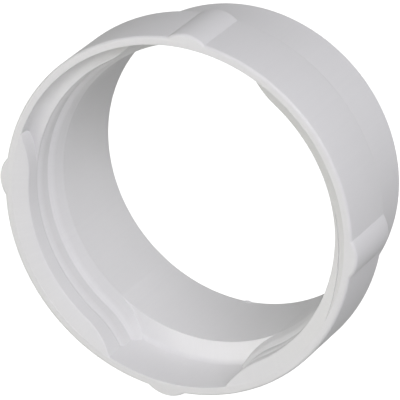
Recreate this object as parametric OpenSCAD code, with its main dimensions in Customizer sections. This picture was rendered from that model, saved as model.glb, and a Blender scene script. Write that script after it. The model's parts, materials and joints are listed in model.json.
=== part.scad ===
// Dryer vent hose adapter, moulded in one piece.
// It stands on the open end of its tube, with the wide collar's rim on top.
// The axis of the tube is Z, and angles run anticlockwise from X seen from above.

/* [Tube] */
// Outside diameter of the tube that the hose slides over
tube_od = 100; // [96:0.5:104]
// Wall thickness of the tube
tube_wall = 2.2; // [1.6:0.1:2.8]
// Length of the tube from its open end to the step
tube_len = 28.5; // [20:0.5:60]
// Chamfer round the tube's open end
tube_chamfer = 0.8; // [0.4:0.1:1.2]

/* [Collar] */
// How far the collar's outside stands out from the tube's outside
collar_step = 7; // [6.4:0.1:8]
// Wall thickness of the collar
collar_wall = 2.2; // [1.8:0.1:2.6]
// Height of the collar from the step to the rim
collar_h = 24; // [23:0.5:30]
// Rounding of the rim's outer edge
rim_round = 1; // [0.4:0.1:1.2]
// Rounding of the corner between the tube and the step
step_fillet = 0.8; // [0.4:0.1:1.2]

/* [Pockets] */
// Depth of the shoulder's inner edge below the rim
shoulder_depth = 20.8; // [20:0.1:21.5]
// Fall of the sloped shoulder from the wall to its inner edge
shoulder_fall = 1.7; // [0.8:0.1:2.2]
// Rounding at the foot of the pocket wall
pocket_fillet = 2; // [1:0.1:3]

/* [Inner lugs] */
// Angle between the centres of the rounded ends of each thick stretch
lug_span = 109; // [90:1:120]
// Rounding radius of the ends of each thick stretch
lug_end_r = 15; // [12:0.5:17]
// How far the ridges' crests stand back from the tube's bore
crest_setback = 0.9; // [0.5:0.1:1.4]
// Height of a ridge from valley to crest
ridge_h = 0.8; // [0.4:0.1:1.2]
// Number of ridges below the first tier
ridge_count = 2; // [2:1:3]
// Depth of the first tier below the rim
first_tier = 7.1; // [6.6:0.1:7.6]

/* [First tier] */
// How far the cove's steep side leans in from the collar's wall
cove_lean = 2.1; // [1.6:0.1:2.4]
// Rounding between the cove's steep side and its ledge
cove_fillet = 0.8; // [0.4:0.1:1.2]
// Fall of the ledge from its outer side to its edge
ledge_fall = 0.3; // [0.1:0.1:0.6]
// How far the blocks' inner edge stands back from the ridges' crests
block_setback = 1.2; // [0.9:0.1:1.6]
// Fall of the blocks' face from the rim to its inner edge
block_fall = 2.4; // [1.6:0.1:3.2]
// Rounding of the blocks' inner edge
block_round = 0.5; // [0.3:0.1:0.8]
// Angle that the long block covers between its rounded ends' centres
long_block_span = 62; // [50:1:72]
// Angle that the short block covers before it runs out straight
short_block_span = 23; // [16:1:30]

/* [Pads] */
// Number of pads round the collar
pad_count = 4; // [3:1:6]
// Width of a pad where it meets the collar
pad_w = 12; // [9:0.5:15]
// How far a pad stands out from the collar
pad_h = 1.8; // [1.2:0.1:2.4]

/* [Hidden] */
$fn = 240;
plastic = [0.87, 0.87, 0.88];

// How far fused pieces reach into each other
sink = 1;
// A hair's breadth that keeps one face from lying along another
nudge = 0.06;
tube_r = tube_od / 2;
bore_r = tube_r - tube_wall;
collar_r = tube_r + collar_step;
wall_r = collar_r - collar_wall;
rim_z = tube_len + collar_h;
shoulder_z = rim_z - shoulder_depth;
pocket_foot_z = shoulder_z + shoulder_fall;
crest_r = bore_r + crest_setback;
valley_r = crest_r + ridge_h;
block_r = crest_r + block_setback;
tier_z = rim_z - first_tier;
// The rounded ends turn about upright lines outside the collar
post_r = crest_r + lug_end_r;
ridge_pitch = (tier_z - shoulder_z) / ridge_count;
// Where the cove's and the blocks' faces start, inside the wall just below the rim
line_top = [wall_r + 0.8 * sink, rim_z - nudge / 2];
pad_out_r = collar_r + pad_h;
pad_rise = pad_out_r - sqrt(pow(collar_r, 2) - pow(pad_w / 2, 2));
pad_r = (pow(pad_w / 2, 2) + pow(pad_rise, 2)) / (2 * pad_rise);

// Points on an arc about [x, z] from one angle to another
function arc(x, z, r, from, to, steps = 6) =
    [for (i = [0 : steps]) let (a = from + (to - from) * i / steps) [x + r * cos(a), z + r * sin(a)]];

// The rounded corner at b between the lines to a and to c, as a list of points
function unit(v) = v / norm(v);
function round_corner(a, b, c, r, steps = 6) =
    let (u = unit(a - b), w = unit(c - b))
    let (half = acos(u * w) / 2)
    let (centre = b + unit(u + w) * r / sin(half))
    let (p = b + u * r / tan(half) - centre, q = b + w * r / tan(half) - centre)
    let (from = atan2(p[1], p[0]), turn = atan2(q[1], q[0]) - from)
    let (sweep = turn > 180 ? turn - 360 : turn < -180 ? turn + 360 : turn)
    arc(centre[0], centre[1], r, from, from + sweep, steps);

// Section of the tube, the step, the collar and the sloped shoulder
module ring_section() {
    foot = round_corner([wall_r, rim_z], [wall_r, pocket_foot_z], [bore_r, shoulder_z], pocket_fillet);
    polygon(concat(
        [[bore_r, 0], [tube_r - tube_chamfer, 0], [tube_r, tube_chamfer]],
        arc(tube_r + step_fillet, tube_len - step_fillet, step_fillet, 180, 90),
        arc(collar_r - rim_round, tube_len + rim_round, rim_round, -90, 0),
        arc(collar_r - rim_round, rim_z - rim_round, rim_round, 0, 90),
        [[wall_r, rim_z]],
        foot,
        [[bore_r, shoulder_z]]));
}

// Inner side of a thick stretch below its first tier, ridge by ridge down to the shoulder
function ridge_line() = concat(
    [for (k = [0 : ridge_count - 1], s = [0 : 1 / 8 : 0.99])
        [crest_r + ridge_h * pow(2 * s - 1, 2), tier_z - ridge_pitch * (k + s)]],
    [[valley_r, shoulder_z], [valley_r, shoulder_z - sink]]);

// Inner side of the cove, from the rim down its steep side and in along the ledge
function cove_line() =
    let (top = line_top + [2 * nudge, -2 * nudge])
    concat(
        [top],
        round_corner(top, [wall_r - cove_lean, tier_z + ledge_fall], [valley_r, tier_z], cove_fillet));

// Inner side of a block, from the rim in along its sloped face and down to the ledge, just off its edge
function block_line() =
    let (foot = [valley_r + 3 * nudge, tier_z - ridge_h / 3])
    concat(
        [line_top],
        round_corner(line_top, [block_r, rim_z - block_fall], foot, block_round),
        [foot]);

// The line closed by an upright side at this distance from the tube's axis
function closed(line, r) = concat([[r, line[len(line) - 1][1]], [r, line[0][1]]], line);

// The line's solid from a rounded end at angle 0 to this angle, swept round the tube's axis
module rounded_sweep(line, angle) {
    rotate_extrude(angle = angle)
        polygon(closed(line, post_r));
    translate([post_r, 0, 0])
        rotate(180)
            rotate_extrude(angle = 80)
                polygon([for (p = closed(line, post_r)) [post_r - p[0], p[1]]]);
}

// The line's solid carried on straight from angle 0, with a short sweep to the other side
module straight_sweep(line, angle) {
    rotate([-90, 0, 0])
        mirror([0, 1, 0])
            linear_extrude(height = wall_r / 2)
                polygon(closed(line, post_r));
    rotate_extrude(angle = -angle)
        polygon(closed(line, post_r));
}

// Everything outside the collar's wall is cut off
module inside_collar(reach) {
    intersection() {
        cylinder(r = wall_r + reach, h = rim_z);
        union() children();
    }
}

// Turns a form that starts at angle 0 to one end of the thick stretch centred at this angle
module at_lug_end(centre, side) {
    rotate(centre)
        mirror([0, side, 0])
            rotate(-lug_span / 2)
                children();
}

// A thick stretch of the collar's inside wall, as two mirrored halves that overlap by a degree
module lug(centre) {
    for (side = [0, 1])
        at_lug_end(centre, side)
            inside_collar(sink)
                rounded_sweep(concat(cove_line(), ridge_line()), lug_span / 2 + 1);
}

// The long block fills one stretch's first tier from one end to beyond its middle
module long_block() {
    half = long_block_span / 2 + 1;
    at_lug_end(180, 1)
        inside_collar(sink / 2)
            rounded_sweep(block_line(), half);
    rotate(180 + lug_span / 2 - long_block_span)
        inside_collar(sink / 2)
            rounded_sweep(block_line(), half);
}

// The short block starts at an end of the other stretch and runs out to the wall along a straight line
module short_block() {
    half = short_block_span / 2 + 1;
    at_lug_end(0, 0)
        inside_collar(sink / 2)
            rounded_sweep(block_line(), half);
    rotate(short_block_span - lug_span / 2)
        inside_collar(sink / 2)
            straight_sweep(block_line(), half);
}

// A rounded pad on the collar's outside, from the step to the rim
module pad() {
    difference() {
        translate([pad_out_r - pad_r, 0, 0])
            rotate_extrude()
                polygon(concat(
                    [[0, tube_len]],
                    arc(pad_r - rim_round, tube_len + rim_round, rim_round, -90, 0),
                    arc(pad_r - rim_round, rim_z - rim_round, rim_round, 0, 90),
                    [[0, rim_z]]));
        cylinder(r = collar_r - sink, h = rim_z + sink);
    }
}

// The tube and the collar with the blocks on its wall
module ring() {
    rotate_extrude()
        ring_section();
    long_block();
    short_block();
}

module hose_adapter() {
    color(plastic) {
        ring();
        for (centre = [0, 180])
            lug(centre);
        for (i = [0 : pad_count - 1])
            rotate(i * 360 / pad_count)
                pad();
    }
}

hose_adapter();
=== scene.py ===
import json
import math

import bmesh
import bpy
from mathutils import Matrix, Vector


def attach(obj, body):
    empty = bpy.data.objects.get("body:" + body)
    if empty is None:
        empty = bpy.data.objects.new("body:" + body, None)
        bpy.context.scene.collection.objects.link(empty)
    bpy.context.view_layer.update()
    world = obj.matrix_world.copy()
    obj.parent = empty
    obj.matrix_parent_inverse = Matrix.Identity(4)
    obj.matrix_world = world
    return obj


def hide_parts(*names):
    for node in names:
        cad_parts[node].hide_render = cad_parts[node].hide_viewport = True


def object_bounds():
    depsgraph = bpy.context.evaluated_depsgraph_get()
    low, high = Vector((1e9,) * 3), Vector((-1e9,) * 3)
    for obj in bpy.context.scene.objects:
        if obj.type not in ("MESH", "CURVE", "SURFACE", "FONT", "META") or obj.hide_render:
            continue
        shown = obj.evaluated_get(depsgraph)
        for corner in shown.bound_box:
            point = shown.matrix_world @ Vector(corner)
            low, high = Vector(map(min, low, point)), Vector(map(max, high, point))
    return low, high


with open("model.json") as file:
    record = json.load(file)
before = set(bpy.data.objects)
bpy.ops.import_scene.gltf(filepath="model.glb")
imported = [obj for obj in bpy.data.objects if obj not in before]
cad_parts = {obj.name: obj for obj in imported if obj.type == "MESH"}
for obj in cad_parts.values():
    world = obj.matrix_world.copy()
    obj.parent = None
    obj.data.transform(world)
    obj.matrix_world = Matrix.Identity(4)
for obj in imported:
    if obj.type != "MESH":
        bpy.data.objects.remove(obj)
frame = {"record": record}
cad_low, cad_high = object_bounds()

scene = bpy.context.scene

# The room is a plain floor that glows pale, with ten soft studio lights: cool ones on the camera's side
# and warm ones behind. The camera stands far back, above the collar's rim, and looks down into it at a slant.
camera_place = Vector((0.56023, 0.61848, 1.30553))
camera_right = Vector((0.90381, 0.05325, -0.42460))
camera_up = Vector((-0.21744, 0.91175, -0.34848))
camera_data = bpy.data.cameras.new("camera")
camera_data.sensor_width = 36.0
camera_data.lens = 456.8
camera_data.clip_end = 20.0
camera = bpy.data.objects.new("camera", camera_data)
scene.collection.objects.link(camera)
camera_axes = Matrix((camera_right, camera_up, camera_right.cross(camera_up))).transposed()
camera.matrix_world = Matrix.Translation(camera_place) @ camera_axes.to_4x4()
scene.camera = camera
scene.view_settings.view_transform = "Standard"

world = bpy.data.worlds.new("studio")
world.use_nodes = True
world.node_tree.nodes["Background"].inputs["Color"].default_value = (1.0, 1.0, 1.0, 1.0)
world.node_tree.nodes["Background"].inputs["Strength"].default_value = 0.01
scene.world = world

floor_side = 3.0
floor_mesh = bpy.data.meshes.new("floor")
floor_form = bmesh.new()
bmesh.ops.create_grid(floor_form, x_segments=1, y_segments=1, size=floor_side / 2)
floor_form.to_mesh(floor_mesh)
floor_form.free()
floor = bpy.data.objects.new("floor", floor_mesh)
scene.collection.objects.link(floor)
floor_paint = bpy.data.materials.new("floor_paint")
floor_paint.use_nodes = True
floor_nodes = floor_paint.node_tree.nodes
floor_nodes.remove(floor_nodes["Principled BSDF"])
floor_output = floor_nodes["Material Output"]
floor_seen = floor_nodes.new("ShaderNodeEmission")
floor_seen.inputs["Strength"].default_value = 1.2
floor_glow = floor_nodes.new("ShaderNodeEmission")
floor_glow.inputs["Strength"].default_value = 0.406
floor_rays = floor_nodes.new("ShaderNodeLightPath")
floor_either = floor_nodes.new("ShaderNodeMixShader")
floor_paint.node_tree.links.new(floor_rays.outputs["Is Camera Ray"], floor_either.inputs["Fac"])
floor_paint.node_tree.links.new(floor_glow.outputs["Emission"], floor_either.inputs[1])
floor_paint.node_tree.links.new(floor_seen.outputs["Emission"], floor_either.inputs[2])
floor_paint.node_tree.links.new(floor_either.outputs["Shader"], floor_output.inputs["Surface"])
floor_mesh.materials.append(floor_paint)

lamp_side = 0.6
lamp_distance = 1.6
cool = (0.965, 0.95, 1.0)
warm = (1.0, 0.997, 0.955)


def soft_light(name, azimuth, elevation, power, colour):
    """A square area light that faces the adapter from this azimuth, anticlockwise from X, and elevation."""
    lamp = bpy.data.lights.new(name, "AREA")
    lamp.size = lamp_side
    lamp.energy = power
    lamp.color = colour
    light = bpy.data.objects.new(name, lamp)
    scene.collection.objects.link(light)
    turn = math.radians(azimuth)
    rise = math.radians(elevation)
    towards = Vector((math.cos(turn) * math.cos(rise), math.sin(turn) * math.cos(rise), math.sin(rise)))
    facing = towards.to_track_quat("Z", "Y").to_matrix().to_4x4()
    light.matrix_world = Matrix.Translation(towards * lamp_distance) @ facing


soft_light("key_light", 60, 42, 9.1, cool)
soft_light("side_light", 40, 28, 5.1, cool)
soft_light("side_light_high", 40, 42, 3.5, cool)
soft_light("back_light", 260, 28, 6.3, warm)
soft_light("top_light", 180, 58, 4.4, warm)
soft_light("top_light_high", 180, 78, 2.8, warm)
soft_light("far_light", 180, 28, 2.3, warm)
soft_light("low_light_far", 200, 10, 3.9, warm)
soft_light("low_light_right", 340, 10, 2.3, cool)
soft_light("low_light_near", 100, 10, 1.1, cool)

# The tube and the collar are the moulding's turned form: a plain tube that the hose slides over, a step,
# and a wider collar with a sloped shoulder inside. The tube's open end has a chamfer outside, and the
# other edges have the mould's small rounding. The plastic is white, with the mould's fine marks.
mounts = {mount["name"]: mount for mount in frame["record"]["mounts"]}
tube_r = mounts["hose_spigot"]["dims"]["r_mm"] / 1000
step_z = mounts["hose_stop"]["pos_m"][2]
rim_z = mounts["rim_face"]["pos_m"][2]
wall = 0.0022
rim_wall = 0.0027
collar_step = 0.007
shoulder_depth = 0.0208
shoulder_fall = 0.0017
tube_chamfer = 0.0008
rim_round = 0.001
inner_round = 0.00025
step_fillet = 0.0008
pocket_fillet = 0.002
corner_steps = 6
turn_steps = 288
collar_r = tube_r + collar_step
wall_r = collar_r - rim_wall
bore_r = tube_r - wall
shoulder_z = rim_z - shoulder_depth
pocket_foot_z = shoulder_z + shoulder_fall


def rounded(corners):
    """A closed line through these corners, each given as its point and its radius, or 0 where it is sharp."""
    line = []
    for i, (point, radius) in enumerate(corners):
        if not radius:
            line.append(point)
            continue
        corner = Vector(point)
        before = (Vector(corners[i - 1][0]) - corner).normalized()
        after = (Vector(corners[(i + 1) % len(corners)][0]) - corner).normalized()
        half = before.angle(after) / 2
        bend = math.pi - 2 * half
        centre = corner + (before + after).normalized() * radius / math.sin(half)
        first = corner + before * radius / math.tan(half) - centre
        last = corner + after * radius / math.tan(half) - centre
        for k in range(corner_steps + 1):
            share = k / corner_steps
            spoke = first * math.sin((1 - share) * bend) + last * math.sin(share * bend)
            line.append(tuple(centre + spoke / math.sin(bend)))
    return line


def new_piece(name, vertices, edges, faces):
    """An object in the scene with this mesh."""
    mesh = bpy.data.meshes.new(name)
    mesh.from_pydata(vertices, edges, faces)
    piece = bpy.data.objects.new(name, mesh)
    scene.collection.objects.link(piece)
    return piece


def new_tree(name, inputs):
    """A Geometry Nodes tree with these inputs besides the mesh, and its group input and output nodes."""
    tree = bpy.data.node_groups.new(name, "GeometryNodeTree")
    tree.interface.new_socket("Mesh", in_out="INPUT", socket_type="NodeSocketGeometry")
    for title, kind in inputs:
        tree.interface.new_socket(title, in_out="INPUT", socket_type=kind)
    tree.interface.new_socket("Mesh", in_out="OUTPUT", socket_type="NodeSocketGeometry")
    return tree, tree.nodes.new("NodeGroupInput"), tree.nodes.new("NodeGroupOutput")


def face_outwards(piece):
    """Points that lie together are merged, and every face of the closed mesh is turned outwards."""
    form = bmesh.new()
    form.from_mesh(piece.data)
    bmesh.ops.remove_doubles(form, verts=form.verts, dist=1e-7)
    bmesh.ops.recalc_face_normals(form, faces=form.faces)
    form.to_mesh(piece.data)
    form.free()


def grow(piece, tree, values):
    """The piece's mesh is replaced by what the tree makes of it with these named values."""
    modifier = piece.modifiers.new(tree.name, "NODES")
    modifier.node_group = tree
    for socket in tree.interface.items_tree:
        if socket.in_out == "INPUT" and socket.name in values:
            modifier[socket.identifier] = values[socket.name]
    grown = piece.evaluated_get(bpy.context.evaluated_depsgraph_get())
    mesh = bpy.data.meshes.new_from_object(grown)
    piece.modifiers.remove(modifier)
    piece.data = mesh
    face_outwards(piece)


def new_effect(name, inputs, output, output_kind):
    """A shader node group with these inputs and this output, and its group input and output nodes."""
    group = bpy.data.node_groups.new(name, "ShaderNodeTree")
    for title, kind in inputs:
        group.interface.new_socket(title, in_out="INPUT", socket_type=kind)
    group.interface.new_socket(output, in_out="OUTPUT", socket_type=output_kind)
    return group, group.nodes.new("NodeGroupInput"), group.nodes.new("NodeGroupOutput")


def place_effect(tree, group, values):
    """A shader node group placed in a material's tree with these named values."""
    node = tree.nodes.new("ShaderNodeGroup")
    node.node_tree = group
    for title, value in values.items():
        node.inputs[title].default_value = value
    return node


def add_math(tree, operation, first, second):
    """A math node on two sockets, or on a socket and a number, and its output."""
    node = tree.nodes.new("ShaderNodeMath")
    node.operation = operation
    tree.links.new(first, node.inputs[0])
    if isinstance(second, float):
        node.inputs[1].default_value = second
    else:
        tree.links.new(second, node.inputs[1])
    return node.outputs["Value"]


def add_noise(tree, vector, scale, detail, roughness):
    """A noise texture at this vector and scale, and its output about zero."""
    node = tree.nodes.new("ShaderNodeTexNoise")
    node.inputs["Detail"].default_value = detail
    node.inputs["Roughness"].default_value = roughness
    tree.links.new(vector, node.inputs["Vector"])
    tree.links.new(scale, node.inputs["Scale"])
    return add_math(tree, "SUBTRACT", node.outputs["Fac"], 0.5)


# The plastic's skin has the fine grain of the steel mould, and the long low waves that it gets as it
# shrinks. Both are heights about zero, each with its own share.
skin, skin_in, skin_out = new_effect("moulded_skin", [
    ("Vector", "NodeSocketVector"),
    ("Grain Scale", "NodeSocketFloat"),
    ("Wave Scale", "NodeSocketFloat"),
    ("Grain", "NodeSocketFloat"),
    ("Waves", "NodeSocketFloat"),
], "Height", "NodeSocketFloat")
grain = add_noise(skin, skin_in.outputs["Vector"], skin_in.outputs["Grain Scale"], 3.0, 0.6)
waves = add_noise(skin, skin_in.outputs["Vector"], skin_in.outputs["Wave Scale"], 1.0, 0.4)
grain_height = add_math(skin, "MULTIPLY", grain, skin_in.outputs["Grain"])
wave_height = add_math(skin, "MULTIPLY", waves, skin_in.outputs["Waves"])
skin.links.new(add_math(skin, "ADD", grain_height, wave_height), skin_out.inputs["Height"])

# Faint draw marks run along the tube's axis, where the piece slid out of the mould. Their pattern is
# read at the direction from the axis, so that it goes round the wall and hardly changes along it.
marks, marks_in, marks_out = new_effect("draw_marks", [
    ("Vector", "NodeSocketVector"),
    ("Marks Round", "NodeSocketFloat"),
    ("Marks Along", "NodeSocketFloat"),
], "Mask", "NodeSocketFloat")
marks_place = marks.nodes.new("ShaderNodeSeparateXYZ")
marks.links.new(marks_in.outputs["Vector"], marks_place.inputs["Vector"])
marks_flat = marks.nodes.new("ShaderNodeCombineXYZ")
marks.links.new(marks_place.outputs["X"], marks_flat.inputs["X"])
marks.links.new(marks_place.outputs["Y"], marks_flat.inputs["Y"])
marks_direction = marks.nodes.new("ShaderNodeVectorMath")
marks_direction.operation = "NORMALIZE"
marks.links.new(marks_flat.outputs["Vector"], marks_direction.inputs[0])
marks_around = marks.nodes.new("ShaderNodeSeparateXYZ")
marks.links.new(marks_direction.outputs["Vector"], marks_around.inputs["Vector"])
marks_point = marks.nodes.new("ShaderNodeCombineXYZ")
marks_x = add_math(marks, "MULTIPLY", marks_around.outputs["X"], marks_in.outputs["Marks Round"])
marks_y = add_math(marks, "MULTIPLY", marks_around.outputs["Y"], marks_in.outputs["Marks Round"])
marks_z = add_math(marks, "MULTIPLY", marks_place.outputs["Z"], marks_in.outputs["Marks Along"])
marks.links.new(marks_x, marks_point.inputs["X"])
marks.links.new(marks_y, marks_point.inputs["Y"])
marks.links.new(marks_z, marks_point.inputs["Z"])
marks_texture = marks.nodes.new("ShaderNodeTexNoise")
marks_texture.inputs["Scale"].default_value = 1.0
marks_texture.inputs["Detail"].default_value = 2.0
marks.links.new(marks_point.outputs["Vector"], marks_texture.inputs["Vector"])
marks.links.new(marks_texture.outputs["Fac"], marks_out.inputs["Mask"])

plastic = bpy.data.materials.new("white_moulded_plastic")
plastic.use_nodes = True
plastic_tree = plastic.node_tree
plastic_shader = plastic_tree.nodes["Principled BSDF"]
plastic_shader.inputs["IOR"].default_value = 1.49
plastic_place = plastic_tree.nodes.new("ShaderNodeTexCoord")
plastic_skin = place_effect(
    plastic_tree, skin, {"Grain Scale": 2600.0, "Wave Scale": 55.0, "Grain": 0.25, "Waves": 1.0})
plastic_marks = place_effect(plastic_tree, marks, {"Marks Round": 60.0, "Marks Along": 14.0})
plastic_tree.links.new(plastic_place.outputs["Object"], plastic_skin.inputs["Vector"])
plastic_tree.links.new(plastic_place.outputs["Object"], plastic_marks.inputs["Vector"])
plastic_tone = plastic_tree.nodes.new("ShaderNodeMix")
plastic_tone.data_type = "RGBA"
plastic_tone.inputs["A"].default_value = (0.79, 0.79, 0.79, 1.0)
plastic_tone.inputs["B"].default_value = (0.82, 0.82, 0.815, 1.0)
plastic_tree.links.new(plastic_marks.outputs["Mask"], plastic_tone.inputs["Factor"])
plastic_tree.links.new(plastic_tone.outputs["Result"], plastic_shader.inputs["Base Color"])
plastic_gloss = plastic_tree.nodes.new("ShaderNodeMapRange")
plastic_gloss.inputs["From Min"].default_value = 0.3
plastic_gloss.inputs["From Max"].default_value = 0.7
plastic_gloss.inputs["To Min"].default_value = 0.38
plastic_gloss.inputs["To Max"].default_value = 0.52
plastic_tree.links.new(plastic_marks.outputs["Mask"], plastic_gloss.inputs["Value"])
plastic_tree.links.new(plastic_gloss.outputs["Result"], plastic_shader.inputs["Roughness"])
plastic_bump = plastic_tree.nodes.new("ShaderNodeBump")
plastic_bump.inputs["Strength"].default_value = 0.35
plastic_bump.inputs["Distance"].default_value = 0.00012
plastic_tree.links.new(plastic_skin.outputs["Height"], plastic_bump.inputs["Height"])
plastic_tree.links.new(plastic_bump.outputs["Normal"], plastic_shader.inputs["Normal"])

turning, turning_in, turning_out = new_tree("turned_ring", [
    ("Steps", "NodeSocketInt"),
    ("Path Radius", "NodeSocketFloat"),
    ("Plastic", "NodeSocketMaterial"),
])
turning_path = turning.nodes.new("GeometryNodeCurvePrimitiveCircle")
turning_section = turning.nodes.new("GeometryNodeMeshToCurve")
turning_sweep = turning.nodes.new("GeometryNodeCurveToMesh")
turning_realize = turning.nodes.new("GeometryNodeRealizeInstances")
turning_paint = turning.nodes.new("GeometryNodeSetMaterial")
turning.links.new(turning_in.outputs["Steps"], turning_path.inputs["Resolution"])
turning.links.new(turning_in.outputs["Path Radius"], turning_path.inputs["Radius"])
turning.links.new(turning_in.outputs["Mesh"], turning_section.inputs["Mesh"])
turning.links.new(turning_path.outputs["Curve"], turning_sweep.inputs["Curve"])
turning.links.new(turning_section.outputs["Curve"], turning_sweep.inputs["Profile Curve"])
turning.links.new(turning_sweep.outputs["Mesh"], turning_realize.inputs["Geometry"])
turning.links.new(turning_realize.outputs["Geometry"], turning_paint.inputs["Geometry"])
turning.links.new(turning_in.outputs["Plastic"], turning_paint.inputs["Material"])
turning.links.new(turning_paint.outputs["Geometry"], turning_out.inputs["Mesh"])

ring_line = rounded([
    ((bore_r, 0.0), inner_round),
    ((tube_r - tube_chamfer, 0.0), 0),
    ((tube_r, tube_chamfer), 0),
    ((tube_r, step_z), step_fillet),
    ((collar_r, step_z), rim_round),
    ((collar_r, rim_z), rim_round),
    ((wall_r, rim_z), inner_round),
    ((wall_r, pocket_foot_z), pocket_fillet),
    ((bore_r, shoulder_z), inner_round),
])
section_points = [(r - tube_r, -z, 0.0) for r, z in ring_line]
section_edges = [(i, (i + 1) % len(section_points)) for i in range(len(section_points))]
moulding = new_piece("adapter_moulding", section_points, section_edges, [])
grow(moulding, turning, {"Steps": turn_steps, "Path Radius": tube_r, "Plastic": plastic})

# Four small pads stand on the outside of the collar, a quarter turn apart. Each is a low rounded
# boss from the step to the rim, with the same rounding at both ends as the collar's own edges.
pad_count = 4
pad_width = 0.012
pad_sunk = 0.0006
pad_steps = 24
pad_out_r = cad_high.x
pad_root_r = collar_r - pad_sunk
pad_rise = pad_out_r - math.sqrt(collar_r ** 2 - (pad_width / 2) ** 2)
pad_r = ((pad_width / 2) ** 2 + pad_rise ** 2) / (2 * pad_rise)


def stacked_faces(count, levels):
    """Faces of a closed form between this many levels of outlines, which have this many points each."""
    total = count * levels
    faces = [tuple(range(count)), tuple(reversed(range(total - count, total)))]
    for start in range(0, total - count, count):
        for i in range(count):
            j = (i + 1) % count
            faces.append((start + j, start + i, start + count + i, start + count + j))
    return faces


def stacked(name, outlines, heights):
    """A closed piece whose outline at each height is given, from the top down."""
    vertices = [(x, y, z) for outline, z in zip(outlines, heights) for x, y in outline]
    return new_piece(name, vertices, [], stacked_faces(len(outlines[0]), len(outlines)))


def pad_outline(radius):
    """The pad's outline at a level where its own radius is this."""
    centre = pad_out_r - pad_r
    half = math.acos((pad_root_r ** 2 - centre ** 2 - radius ** 2) / (2 * centre * radius))
    outline = []
    for k in range(pad_steps + 1):
        angle = half * (2 * k / pad_steps - 1)
        outline.append((centre + radius * math.cos(angle), radius * math.sin(angle)))
    return outline


pad_line = []
for k in range(corner_steps + 1):
    angle = math.pi / 2 * (1 - k / corner_steps)
    pad_line.append((pad_r - rim_round * (1 - math.cos(angle)), rim_z - rim_round * (1 - math.sin(angle))))
pad_line += [(r, step_z + rim_z - z) for r, z in reversed(pad_line)]
pads = stacked("pads", [pad_outline(r) for r, z in pad_line], [z for r, z in pad_line])

copies, copies_in, copies_out = new_tree("pads_round_collar", [
    ("Count", "NodeSocketInt"),
    ("Plastic", "NodeSocketMaterial"),
])
copies_places = copies.nodes.new("GeometryNodePoints")
copies_index = copies.nodes.new("GeometryNodeInputIndex")
copies_share = copies.nodes.new("ShaderNodeMath")
copies_share.operation = "DIVIDE"
copies_angle = copies.nodes.new("ShaderNodeMath")
copies_angle.operation = "MULTIPLY"
copies_angle.inputs[1].default_value = 2 * math.pi
copies_turn = copies.nodes.new("ShaderNodeCombineXYZ")
copies_instances = copies.nodes.new("GeometryNodeInstanceOnPoints")
copies_realize = copies.nodes.new("GeometryNodeRealizeInstances")
copies_paint = copies.nodes.new("GeometryNodeSetMaterial")
copies.links.new(copies_in.outputs["Count"], copies_places.inputs["Count"])
copies.links.new(copies_index.outputs["Index"], copies_share.inputs[0])
copies.links.new(copies_in.outputs["Count"], copies_share.inputs[1])
copies.links.new(copies_share.outputs[0], copies_angle.inputs[0])
copies.links.new(copies_angle.outputs[0], copies_turn.inputs["Z"])
copies.links.new(copies_places.outputs["Points"], copies_instances.inputs["Points"])
copies.links.new(copies_in.outputs["Mesh"], copies_instances.inputs["Instance"])
copies.links.new(copies_turn.outputs["Vector"], copies_instances.inputs["Rotation"])
copies.links.new(copies_instances.outputs["Instances"], copies_realize.inputs["Geometry"])
copies.links.new(copies_realize.outputs["Geometry"], copies_paint.inputs["Geometry"])
copies.links.new(copies_in.outputs["Plastic"], copies_paint.inputs["Material"])
copies.links.new(copies_paint.outputs["Geometry"], copies_out.inputs["Mesh"])
grow(pads, copies, {"Count": pad_count, "Plastic": plastic})

# Two long thick stretches of the collar's inside wall are the twist-lock lugs. Each steps in towards the
# tube in three tiers with soft edges, and its ends curve away into the wall. One has a coved ledge on its
# first tier, and the other's first tier is a plain slope.
lug_span = math.radians(112)
lug_end_r = 0.028
lug_sunk = 0.0008
edge_setback = 0.0022
arc_steps = 90
end_steps = 18
root_steps = 60
edge_r = bore_r + edge_setback
post_r = edge_r + lug_end_r
root_r = wall_r + lug_sunk
tier_corners = [
    ((edge_r + 0.0003, rim_z - 0.0085), 0.0006),
    ((bore_r + 0.0018, rim_z - 0.0101), 0.005),
    ((bore_r + 0.0020, rim_z - 0.0144), 0.0007),
    ((bore_r + 0.0008, rim_z - 0.0163), 0.005),
    ((bore_r - 0.00005, shoulder_z - 0.0004), 0.0025),
    ((bore_r + 0.0004, shoulder_z - 0.004), 0),
]
cove_corners = [
    ((wall_r + 0.0003, rim_z - 0.0002), 0),
    ((wall_r - 0.0005, rim_z - 0.0071), 0.0037),
    ((edge_r, rim_z - 0.0072), 0.0004),
]
slope_corners = [
    ((wall_r + 0.0003, rim_z - 0.0001), 0),
    ((edge_r - 0.0002, rim_z - 0.0039), 0.0008),
]


def turned(point, angle):
    """The point turned anticlockwise about the tube's axis."""
    return Vector((
        point.x * math.cos(angle) - point.y * math.sin(angle),
        point.x * math.sin(angle) + point.y * math.cos(angle)))


def round_end(radius, angle, side):
    """Points from the wall round a lug's end at this angle to its inner face, which has this radius.
    The side is -1 at the lug's start and 1 at its end."""
    reach = post_r - radius
    full = math.acos((post_r ** 2 + reach ** 2 - root_r ** 2) / (2 * post_r * reach))
    points = []
    for k in range(end_steps):
        swing = full * (1 - k / end_steps)
        along = post_r - reach * math.cos(swing)
        across = side * reach * math.sin(swing)
        points.append(turned(Vector((along, across)), angle))
    return points


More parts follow.
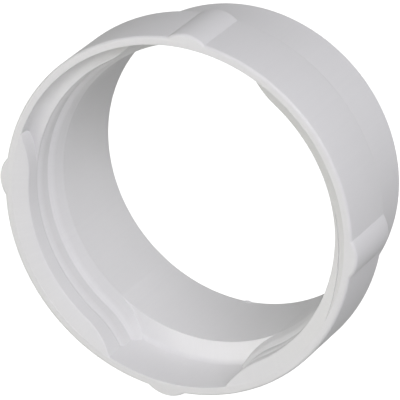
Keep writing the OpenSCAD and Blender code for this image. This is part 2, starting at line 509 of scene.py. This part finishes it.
def stretch(name, line, first, last):
    """A thick stretch of the wall between two angles, whose inner side has this line of radius and height."""
    outlines = []
    for radius, height in line:
        angles = [first + (last - first) * k / arc_steps for k in range(arc_steps + 1)]
        inner = [turned(Vector((radius, 0)), angle) for angle in angles]
        outline = round_end(radius, first, -1) + inner + list(reversed(round_end(radius, last, 1)))
        start = math.atan2(outline[-1].y, outline[-1].x)
        stop = math.atan2(outline[0].y, outline[0].x)
        while stop > start:
            stop -= 2 * math.pi
        for k in range(1, root_steps):
            outline.append(turned(Vector((root_r, 0)), start + (stop - start) * k / root_steps))
        outlines.append([tuple(point) for point in reversed(outline)])
    piece = stacked(name, outlines, [height for radius, height in line])
    piece.data.materials.append(plastic)
    face_outwards(piece)
    return piece


lugs = []
for name, centre, first_tier in (("sloped_lug", 0.0, slope_corners), ("coved_lug", math.pi, cove_corners)):
    line = rounded(first_tier + tier_corners)
    lugs.append(stretch(name, line, centre - lug_span / 2, centre + lug_span / 2))

# A raised block lies on part of each lug's first tier, level with the rim at the wall and falling inwards.
# At one end it follows the lug's own rounded end. At the other the long block runs out to the wall in a
# long curve, and the short one narrows from the wall to the lug's edge and sinks into the slope there.
block_foot_z = rim_z - 0.0074
block_face_drop = 0.0001
block_round = 0.0006
block_least = 0.00002
block_steps = 120
block_beyond = math.radians(13)


def rounded_edge(inner_r, beyond):
    """A block's inner radius at this angle beyond the start of its rounded end, where it is inner_r."""
    reach = post_r - inner_r
    if beyond <= 0:
        return inner_r
    if post_r * math.sin(beyond) >= reach:
        return root_r
    return min(root_r, post_r * math.cos(beyond) - math.sqrt(reach ** 2 - (post_r * math.sin(beyond)) ** 2))


def block(name, inner_r, stations):
    """A closed block from an angle, an inner and an outer radius at each station, and how far its face falls
    there from the rim to inner_r."""
    def face_z(radius, fall):
        return rim_z - block_face_drop - fall * max(0.0, wall_r - radius) / (wall_r - inner_r)

    rings = []
    for angle, inner, outer, fall in stations:
        inner = min(inner, outer - block_least)
        mid = max(inner, min(outer, wall_r))
        ring = rounded([
            ((outer, block_foot_z), 0),
            ((inner, block_foot_z), 0),
            ((inner, face_z(inner, fall)), min(block_round, (outer - inner) / 3)),
            ((max(mid, inner + (outer - inner) / 2), face_z(mid, fall)), 0),
            ((outer, face_z(outer, fall)), 0),
        ])
        rings.append([(r * math.cos(angle), r * math.sin(angle), z) for r, z in ring])
    vertices = [vertex for ring in rings for vertex in ring]
    piece = new_piece(name, vertices, [], stacked_faces(len(rings[0]), len(rings)))
    piece.data.materials.append(plastic)
    face_outwards(piece)
    return piece


long_block_r = edge_r
long_block_fall = 0.0022
long_block_first = math.radians(162.5)
long_block_full = math.radians(179)
long_block_tip = math.pi + lug_span / 2 + block_beyond
long_stations = []
for k in range(block_steps + 1):
    angle = long_block_first + (long_block_tip - long_block_first) * k / block_steps
    share = min(1.0, (angle - long_block_first) / (long_block_full - long_block_first))
    run_out = long_block_r + (root_r - long_block_r) * (1 - share) ** 2
    inner = max(run_out, rounded_edge(long_block_r, angle - math.pi - lug_span / 2))
    long_stations.append((angle, inner, root_r, long_block_fall))
long_block = block("long_block", long_block_r, long_stations)

short_block_r = edge_r - 0.0001
short_block_fall = 0.0027
short_block_last_fall = 0.0041
short_block_narrow = 0.0006
short_block_last_r = short_block_r + 2 * short_block_narrow
short_block_tip = -lug_span / 2 - block_beyond
short_block_full = math.radians(-28)
short_block_last = math.radians(24)
short_stations = []
for k in range(block_steps + 1):
    angle = short_block_tip + (short_block_last - short_block_tip) * k / block_steps
    share = max(0.0, (angle - short_block_full) / (short_block_last - short_block_full))
    inner = rounded_edge(short_block_r, -lug_span / 2 - angle) + short_block_narrow * share ** 2
    outer = short_block_last_r + (root_r - short_block_last_r) * (1 - share) ** 2
    fall = short_block_fall + (short_block_last_fall - short_block_fall) * share ** 2
    short_stations.append((angle, inner, outer, fall))
short_block = block("short_block", short_block_r, short_stations)

# A small low nub of plastic, left where the mould was filled, stands on the inner edge at the tube's open
# end. It is about half a millimetre high and three long, and its outer half is sunk into the wall.
nub_half = (0.0006, 0.0014, 0.0006)
nub_sunk = 0.0001
nub_z = 0.0007
nub_turn = Matrix.Rotation(math.radians(273.5), 4, "Z")
nub_centre = Matrix.Translation((bore_r + nub_sunk, 0.0, nub_z))
nub_place = nub_turn @ nub_centre @ Matrix.Diagonal(nub_half).to_4x4()
nub = new_piece("nub", [], [], [])
nub_form = bmesh.new()
bmesh.ops.create_icosphere(nub_form, subdivisions=4, radius=1.0, matrix=nub_place)
nub_form.to_mesh(nub.data)
nub_form.free()
nub.data.materials.append(plastic)
face_outwards(nub)

# The mould makes all of this as one piece, so the forms are joined into one closed skin.
# Its faces are shaded smooth except across real edges.
smooth_below = math.radians(28)
forms = [pads, long_block, short_block] + lugs + [nub]
for form in forms:
    joint = moulding.modifiers.new("joined", "BOOLEAN")
    joint.operation = "UNION"
    joint.solver = "MANIFOLD"
    joint.object = form
joined = moulding.evaluated_get(bpy.context.evaluated_depsgraph_get())
joined_mesh = bpy.data.meshes.new_from_object(joined)
moulding.modifiers.clear()
moulding.data = joined_mesh
for form in forms:
    bpy.data.objects.remove(form)
joined_mesh.set_sharp_from_angle(angle=smooth_below)
joined_mesh.materials.clear()
joined_mesh.materials.append(plastic)
for face in joined_mesh.polygons:
    face.use_smooth = True
    face.material_index = 0
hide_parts("hose_adapter")
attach(moulding, "root")
